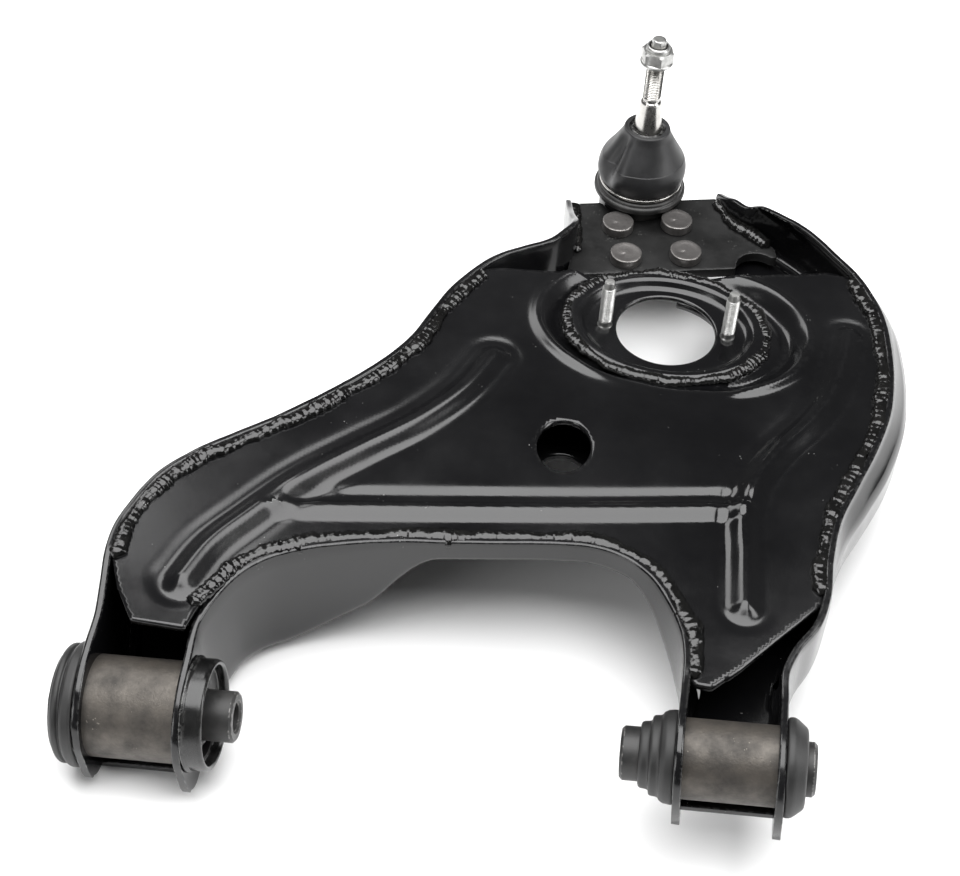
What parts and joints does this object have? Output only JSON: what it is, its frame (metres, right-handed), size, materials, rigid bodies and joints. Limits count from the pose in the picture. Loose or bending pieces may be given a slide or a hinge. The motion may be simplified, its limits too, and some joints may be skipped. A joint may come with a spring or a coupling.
{
  "type": "control arm",
  "caption": "Welded steel suspension control arm with two rubber pivot bushings, a dished shock absorber seat with studs, and a booted ball joint at the nose.",
  "frame": {"origin": "centre of the large pivot bushing's bore, halfway between its two clevis ears", "axes": "+Z square to the top plate, along the shock studs; +X towards the small bushing; +Y towards the ball joint"},
  "size_m": [0.5286, 0.6266, 0.2125],
  "materials": {
    "arm_paint": "gloss",
    "plate_paint": "satin",
    "weld": "gloss",
    "zinc": "satin",
    "rivet_steel": "satin",
    "housing_steel": "satin",
    "liner_plastic": "matte",
    "bright_steel": "polished",
    "boot_rubber": "matte",
    "sleeve_steel": "dull",
    "core_steel": "dull",
    "bush_rubber": "matte",
    "collar_steel": "satin"
  },
  "bodies": {
    "arm": {"lower_shell": "arm_paint", "top_plate": "arm_paint", "shock_seat": "arm_paint", "ball_joint_plate": "plate_paint", "weld_left": "weld", "weld_right": "weld", "weld_arch": "weld", "weld_nose_left": "weld", "weld_nose_right": "weld", "weld_seat": "weld", "shock_studs": "zinc", "rivets": "rivet_steel", "ball_joint_housing": "housing_steel", "end_cap": "housing_steel", "lower_bearing": "liner_plastic", "preload_washer": "bright_steel", "boot": "boot_rubber", "boot_clamp_ring": "bright_steel", "large_outer_sleeve": "sleeve_steel", "large_rubber": "bush_rubber", "large_rubber_flange": "bush_rubber", "large_collar": "collar_steel", "small_outer_sleeve": "sleeve_steel", "small_rubber": "bush_rubber", "small_stepped_rubber": "bush_rubber", "small_rubber_flange": "bush_rubber"},
    "large_core": {"large_inner_sleeve": "core_steel"},
    "small_core": {"small_inner_sleeve": "core_steel"},
    "liner": {"bearing_liner": "liner_plastic"},
    "collar": {"boot_collar": "housing_steel"},
    "stud": {"ball_stud": "bright_steel", "stud_nut": "zinc"}
  },
  "joints": [
    {"name": "large_bushing_twist", "type": "hinge", "parent": "arm", "child": "large_core", "pos_m": [0, 0, 0], "axis": [0.9954, 0, 0.0958], "range_deg": [-20, 20], "stiffness_Nm_per_rad": 8},
    {"name": "small_bushing_twist", "type": "hinge", "parent": "arm", "child": "small_core", "pos_m": [0.36332, 0, 0.03498], "axis": [0.9954, 0, 0.0958], "range_deg": [-20, 20], "stiffness_Nm_per_rad": 8},
    {"name": "ball_swing", "type": "hinge", "parent": "arm", "child": "liner", "pos_m": [0.26079, 0.55112, 0.016], "axis": [1, 0, 0], "range_deg": [-20, 20], "deforming": ["boot"]},
    {"name": "ball_lean", "type": "hinge", "parent": "liner", "child": "collar", "pos_m": [0.26079, 0.55112, 0.016], "axis": [0, 1, 0], "range_deg": [-20, 20], "deforming": ["boot"]},
    {"name": "ball_spin", "type": "hinge", "parent": "collar", "child": "stud", "pos_m": [0.26079, 0.55112, 0.016], "axis": [0, 0, 1], "continuous": true}
  ]
}
